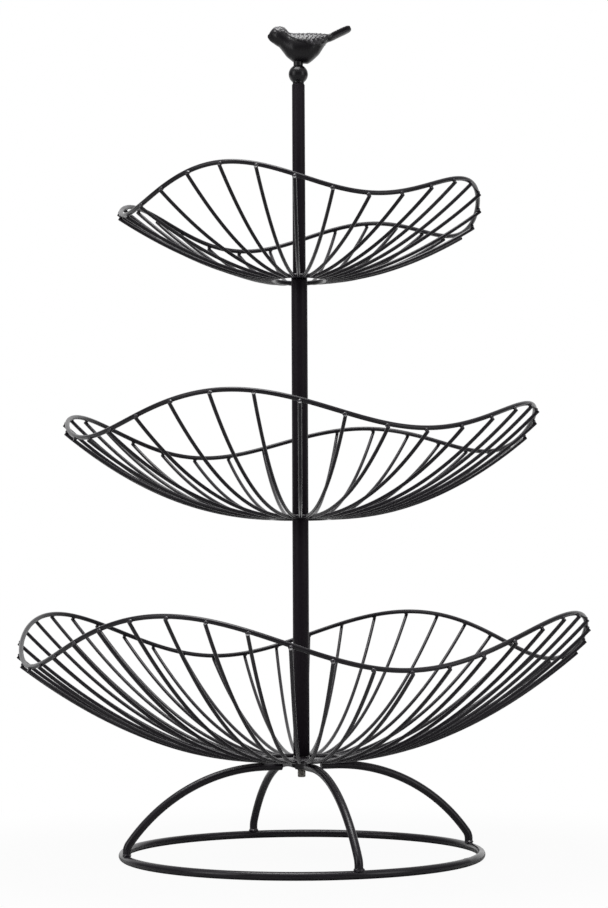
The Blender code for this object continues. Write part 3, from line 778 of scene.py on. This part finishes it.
# How far each point of the smooth body rises along its normal, and how much lighter its crests are painted,
# as rubbed lacquer and as painted highlight
def birdRelief(along, angle, x, zShare, length, height, halfWidth):
    lift = np.sin(angle)
    side = np.abs(np.cos(angle))
    fromBack = np.abs((angle - math.pi / 2 + math.pi) % (2 * math.pi) - math.pi) * halfWidth
    fromBack = fromBack * birdLook["roundShare"]
    # wing and back stand a little proud of the smooth breast, with a crisp lower edge
    look = birdLook["wing"]
    wingLine = throughPoints(look["edge"], np.clip(along, look["edge"][0][0], look["edge"][-1][0]))
    inWing = ramp(0.0, look["edgeFade"], zShare - wingLine) * within(look["span"], along)
    rise = look["rise"] * inWing * (look["backShare"] + (1 - look["backShare"]) * side)
    look = birdLook["feathers"]
    feather = featherPattern(look, x, fromBack) * inWing
    rise = rise + look["rise"] * feather
    # the feathers' crests are painted lighter: wear and painted highlight
    wearAndHighlight = look["wear"] * feather
    # small bumps over the crown, their tops painted lighter as wear and painted highlight
    look = birdLook["crown"]
    bumps = 0.5 + 0.5 * np.sin(x / look["bump"]) * np.sin(fromBack / look["bump"])
    crown = bumps * ramp(look["from"], look["to"], zShare) * within(look["span"], along)
    rise = rise + look["rise"] * crown
    wearAndHighlight = wearAndHighlight + look["wear"] * crown
    # fine ribs along the tail, and on each side of it a hollow between a ridge above and one below; the
    # ridges are painted lighter as wear and painted highlight
    look = birdLook["tail"]
    tail = within(look["span"], along)
    ridge = bell(np.abs(lift), look["ridgeAt"], look["ridgeWidth"])
    hollow = look["hollowShare"] * bell(lift, 0.0, look["hollowWidth"])
    ribs = look["ribShare"] * np.cos(angle * look["ribs"])
    rise = rise + look["rise"] * (ribs + ridge - hollow) * tail
    wearAndHighlight = wearAndHighlight + look["wear"] * tail * ridge
    # a line between the two halves of the beak
    look = birdLook["mouth"]
    rise = rise - look["depth"] * within(look["span"], along) * bell(zShare, look["height"], look["width"])
    # eye: a low dome in a shallow ring
    look = birdLook["eye"]
    away = np.hypot(x - look["along"] * length, (zShare - look["height"]) * height) / look["radius"]
    dome = look["rise"] * np.sqrt(np.clip(1 - away ** 2, 0, 1))
    ring = look["ringDepth"] * bell(away, look["ringAt"], look["ringWidth"])
    rise = rise + np.where(side > look["sideShare"], 1.0, 0.0) * (dome - ring)
    return rise, np.clip(wearAndHighlight, 0, 1)


def makeBird():
    low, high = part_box("finial_bird")
    length, height, halfWidth = high.x - low.x, high.z - low.z, (high.y - low.y) / 2
    rings, sides, crowding = birdLook["rings"], birdLook["sides"], birdLook["crowding"]
    # rings crowd towards beak and tail tip, where the outline turns fastest
    even = np.linspace(0, 1, rings)
    share = (1 - crowding) * even + crowding * (1 - np.cos(math.pi * even)) / 2
    along = share[:, None] * np.ones(sides)
    angle = (2 * math.pi * np.arange(sides) / sides)[None, :] * np.ones((rings, 1))
    top, bottom, width = (throughPoints(birdLook[key], along) for key in ("top", "bottom", "width"))
    lift = np.sin(angle)
    x = along * length
    z = height * ((top + bottom) / 2 + (top - bottom) / 2 * lift)
    y = halfWidth * width * np.cos(angle) * (1 + birdLook["upperSwell"] * lift)
    rise, wearAndHighlight = birdRelief(along, angle, x, z / height, length, height, halfWidth)

    # move each point out along the smooth body's own normal
    body = np.stack([x, y, z], axis=-1)
    alongStep = np.gradient(body, axis=0)
    roundStep = (np.roll(body, -1, axis=1) - np.roll(body, 1, axis=1)) / 2
    normal = np.cross(roundStep, alongStep)
    normal /= np.linalg.norm(normal, axis=-1, keepdims=True) + 1e-12   # never divides by 0
    middle = np.stack([x, y * 0, height * (top + bottom) / 2], axis=-1)
    flip = np.sign(np.sum(normal * (body - middle), axis=-1, keepdims=True))
    body = (body + normal * flip * rise[..., None]).reshape(-1, 3)
    # fit the finished bird into the place of the CAD one
    bodyLow, bodyHigh = body.min(0), body.max(0)
    fitted = (body - bodyLow) / (bodyHigh - bodyLow)
    body = fitted * (np.array(high) - np.array(low)) + np.array(low)
    faces = []
    joinLoops(faces, 0, rings, sides)
    faces.append(tuple(range(sides)))
    faces.append(tuple(range((rings - 1) * sides, rings * sides)))
    bird = finishMesh("finialBird", body.tolist(), faces, castZinc, sharpAngle=75)
    # the crests' mask of wear and painted highlight, which the lacquer reads
    wearAndHighlightMask = bird.data.attributes.new("wearAndHighlightMask", "FLOAT", "POINT")
    wearAndHighlightMask.data.foreach_set("value", wearAndHighlight.reshape(-1).astype(np.float32))
    standFor(bird, "finial", "cast_black", "finial_bird")


makeBall()
makeBird()
print("finial done")


# The hidden plugs and studs keep their CAD shape and get the plated finish
for name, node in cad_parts.items():
    if not node.hide_render:
        node.data.materials.clear()
        node.data.materials.append(zincPlate)
        print("finish on CAD node", name)


# How much of the white background a ray sees: the camera the share seenByCamera, and
# reflections and glass the part that stands behind the object
def backgroundShare(tree, seenByCamera, backdrop):
    ray = addNode(tree, "ShaderNodeLightPath").outputs
    either = {0: ray["Is Glossy Ray"], 1: ray["Is Transmission Ray"]}
    indirect = addNode(tree, "ShaderNodeMath", either, operation="MAXIMUM")
    reflected = addNode(tree, "ShaderNodeMath", {0: indirect, 1: backdrop}, operation="MULTIPLY")
    direct = addNode(tree, "ShaderNodeMath", {0: ray["Is Camera Ray"], 1: seenByCamera}, operation="MULTIPLY")
    return addNode(tree, "ShaderNodeMath", {0: direct, 1: reflected}, operation="MAXIMUM")


# The studio: pale floor, a white backdrop behind the stand, one softbox above and weak ones at
# the sides. The floor clears to plain white between two distances from the pole, and counts as
# backdrop between two distances behind it.
floorLook = {"size": 12.0, "drop": 0.0001, "colour": "#a8a8a8", "seenShare": 0.05, "clearFrom": 0.16,
             "clearTo": 0.36, "backdropFrom": 0.3, "backdropTo": 0.7, "fibre": 3.0, "fibreStrength": 0.05,
             "fibreDepth": 0.0002}
white = (1, 1, 1, 1)


# Matt studio paper. The camera sees it as white with the object's soft shadow near the foot.
def makeFloor():
    material, tree = emptyMaterial("mattStudioPaper")
    place = addNode(tree, "ShaderNodeTexCoord").outputs["Object"]
    away = addNode(tree, "ShaderNodeVectorMath", {0: place}, operation="LENGTH").outputs["Value"]
    back = addNode(tree, "ShaderNodeSeparateXYZ", {0: place}).outputs["Y"]
    clear = addNode(tree, "ShaderNodeMapRange", {
        "Value": away, "From Min": floorLook["clearFrom"], "From Max": floorLook["clearTo"],
        "To Min": 1 - floorLook["seenShare"],
    }, interpolation_type="SMOOTHSTEP")
    backdrop = addNode(tree, "ShaderNodeMapRange", {
        "Value": back, "From Min": floorLook["backdropFrom"], "From Max": floorLook["backdropTo"],
    }, interpolation_type="SMOOTHSTEP")
    fibre = addNode(tree, "ShaderNodeTexNoise", {
        "Vector": place, "Scale": perMillimetre(floorLook["fibre"]), "Detail": 3.0,
    })
    bump = addNode(tree, "ShaderNodeBump", {
        "Height": fibre, "Strength": floorLook["fibreStrength"], "Distance": floorLook["fibreDepth"],
    })
    paper = addNode(tree, "ShaderNodeBsdfDiffuse", {"Color": toLinear(floorLook["colour"]), "Normal": bump})
    glow = addNode(tree, "ShaderNodeEmission", {"Color": white, "Strength": 1.0})
    share = backgroundShare(tree, clear, backdrop)
    surface = addNode(tree, "ShaderNodeMixShader", {0: share, 1: paper, 2: glow})
    addNode(tree, "ShaderNodeOutputMaterial", {"Surface": surface})
    half = floorLook["size"] / 2
    corners = [(-half, -half, 0), (half, -half, 0), (half, half, 0), (-half, half, 0)]
    mesh = bpy.data.meshes.new("studioFloor")
    mesh.from_pydata(corners, [], [(0, 1, 2, 3)])
    mesh.materials.append(material)
    floor = bpy.data.objects.new("studioFloor", mesh)
    floor.location.z = -floorLook["drop"]
    bpy.context.scene.collection.objects.link(floor)


# A dim room that is brightest overhead, with the white backdrop behind the stand
worldLook = {"low": 0.12, "high": 0.6, "backdropFrom": 0.6, "backdropTo": 0.85}


def makeWorld():
    world = bpy.data.worlds.new("studioWorld")
    world.use_nodes = True
    tree = world.node_tree
    tree.nodes.clear()
    direction = addNode(tree, "ShaderNodeTexCoord").outputs["Generated"]
    towards = addNode(tree, "ShaderNodeSeparateXYZ", {0: direction}).outputs
    backdrop = addNode(tree, "ShaderNodeMapRange", {
        "Value": towards["Y"], "From Min": worldLook["backdropFrom"], "From Max": worldLook["backdropTo"],
    }, interpolation_type="SMOOTHSTEP")
    level = addNode(tree, "ShaderNodeMapRange", {
        "Value": towards["Z"], "To Min": worldLook["low"], "To Max": worldLook["high"],
    }, interpolation_type="SMOOTHSTEP")
    light = addNode(tree, "ShaderNodeBackground", {"Color": white, "Strength": level})
    glow = addNode(tree, "ShaderNodeBackground", {"Color": white, "Strength": 1.0})
    share = backgroundShare(tree, 1.0, backdrop)
    mixed = addNode(tree, "ShaderNodeMixShader", {0: share, 1: light, 2: glow})
    addNode(tree, "ShaderNodeOutputWorld", {"Surface": mixed})
    bpy.context.scene.world = world


lampAim = Vector((0, 0, 0.25))
lamps = {
    "overheadSoftbox": {"place": (-0.12, -0.2, 1.6), "size": (0.9, 0.9), "power": 18.0},
    "leftPanel": {"place": (-1.5, -1.0, 0.75), "size": (0.8, 1.2), "power": 5.0},
    "rightPanel": {"place": (1.5, -1.1, 0.65), "size": (0.8, 1.2), "power": 4.0},
}


def makeLamps():
    for name, look in lamps.items():
        light = bpy.data.lights.new(name, "AREA")
        light.shape = "RECTANGLE"
        light.size, light.size_y = look["size"]
        light.energy = look["power"]
        lamp = bpy.data.objects.new(name, light)
        lamp.location = look["place"]
        lamp.rotation_euler = (lampAim - lamp.location).to_track_quat("-Z", "Y").to_euler()
        bpy.context.scene.collection.objects.link(lamp)


# The photo's own camera, fitted to the rims, the base ring and the pole
cameraLook = {"distance": 1.307, "height": 0.1573, "lookUp": 3.905, "roll": -0.275, "focalPixels": 2119.9,
              "pictureHeight": 908, "shiftPixels": 3.9, "sensor": 36.0, "nearest": 0.01}


def makeCamera():
    data = bpy.data.cameras.new("photoCamera")
    data.sensor_width = cameraLook["sensor"]
    data.lens = cameraLook["focalPixels"] * cameraLook["sensor"] / cameraLook["pictureHeight"]
    data.shift_x = cameraLook["shiftPixels"] / cameraLook["pictureHeight"]
    data.clip_start = cameraLook["nearest"]
    camera = bpy.data.objects.new("photoCamera", data)
    camera.location = (0, -cameraLook["distance"], cameraLook["height"])
    camera.rotation_euler = (math.radians(90 + cameraLook["lookUp"]), 0, 0)
    camera.rotation_euler.rotate_axis("Z", math.radians(cameraLook["roll"]))
    bpy.context.scene.collection.objects.link(camera)
    bpy.context.scene.camera = camera


makeFloor()
makeWorld()
makeLamps()
makeCamera()
bpy.context.scene.view_settings.view_transform = "Standard"
print("stage, lights and camera done")
